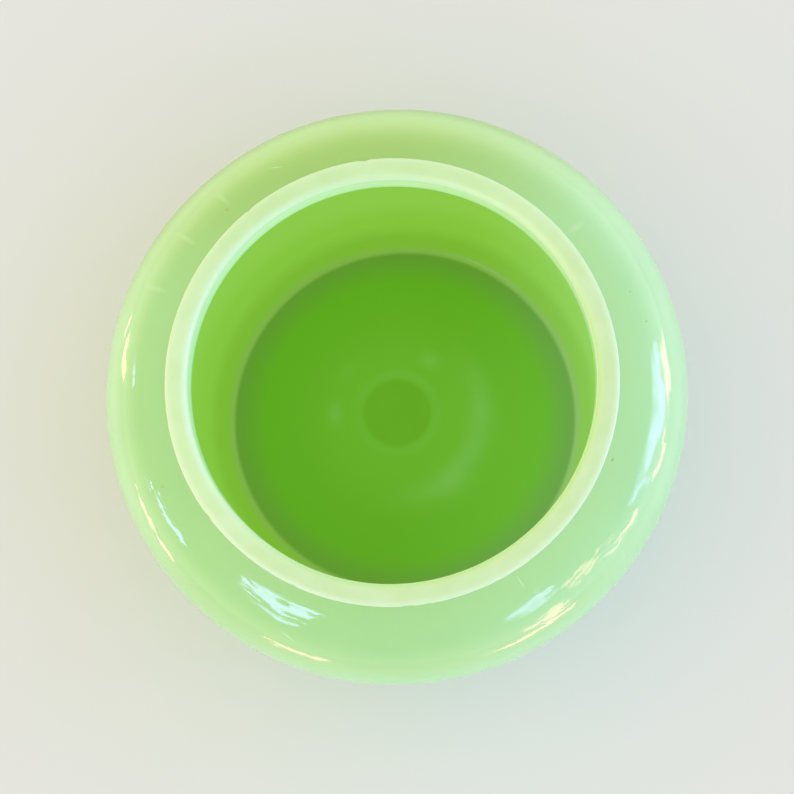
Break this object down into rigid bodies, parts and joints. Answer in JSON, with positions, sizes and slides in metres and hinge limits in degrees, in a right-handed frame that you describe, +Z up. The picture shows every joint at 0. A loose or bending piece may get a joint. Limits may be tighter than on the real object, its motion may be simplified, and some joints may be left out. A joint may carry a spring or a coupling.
{
  "type": "uranium glass dish",
  "caption": "Squat round dish of cased uranium glass: wide rolled shoulder, open mouth with a flat ground rim, and a low ground foot.",
  "frame": {"origin": "centre of the foot, on the plane that the dish stands on", "axes": "+Z up along the dish's own axis, out of its mouth; +X and +Y are square to it"},
  "size_m": [0.12, 0.12, 0.0565],
  "materials": {
    "opal_casing": "gloss",
    "green_lining": "gloss"
  },
  "bodies": {
    "root": {"outer_casing": "opal_casing", "inner_lining": "green_lining"}
  },
  "joints": []
}
